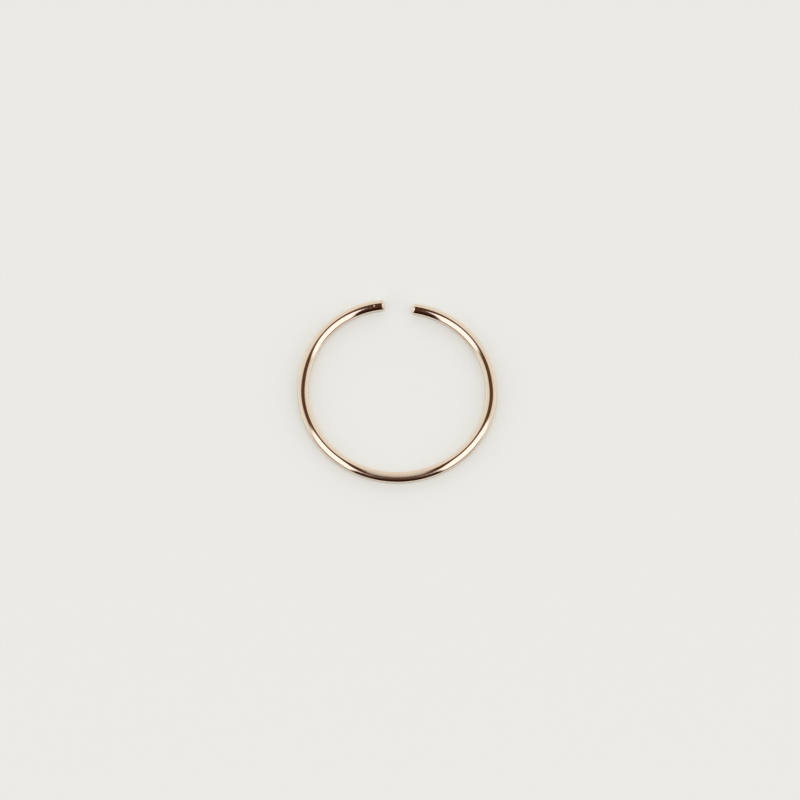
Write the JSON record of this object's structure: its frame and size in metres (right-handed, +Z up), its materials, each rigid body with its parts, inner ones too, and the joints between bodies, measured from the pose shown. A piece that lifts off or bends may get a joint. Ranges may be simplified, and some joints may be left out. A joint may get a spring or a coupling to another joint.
{
  "type": "ear cuff",
  "caption": "Plain ear cuff of round polished gold-coloured wire, bent into an open ring whose gap springs over the rim of the ear.",
  "frame": {"origin": "on the surface the ring lies on, under the middle of the loop", "axes": "+Z up out of the surface, along the loop's axis; +Y towards the gap between the tips; +X across the loop"},
  "size_m": [0.0128, 0.0128, 0.0007],
  "materials": {
    "gold": "polished gold, mirror bright, with fine lines along the drawn wire"
  },
  "bodies": {
    "root": {"cuff_ring": "gold"}
  },
  "joints": []
}
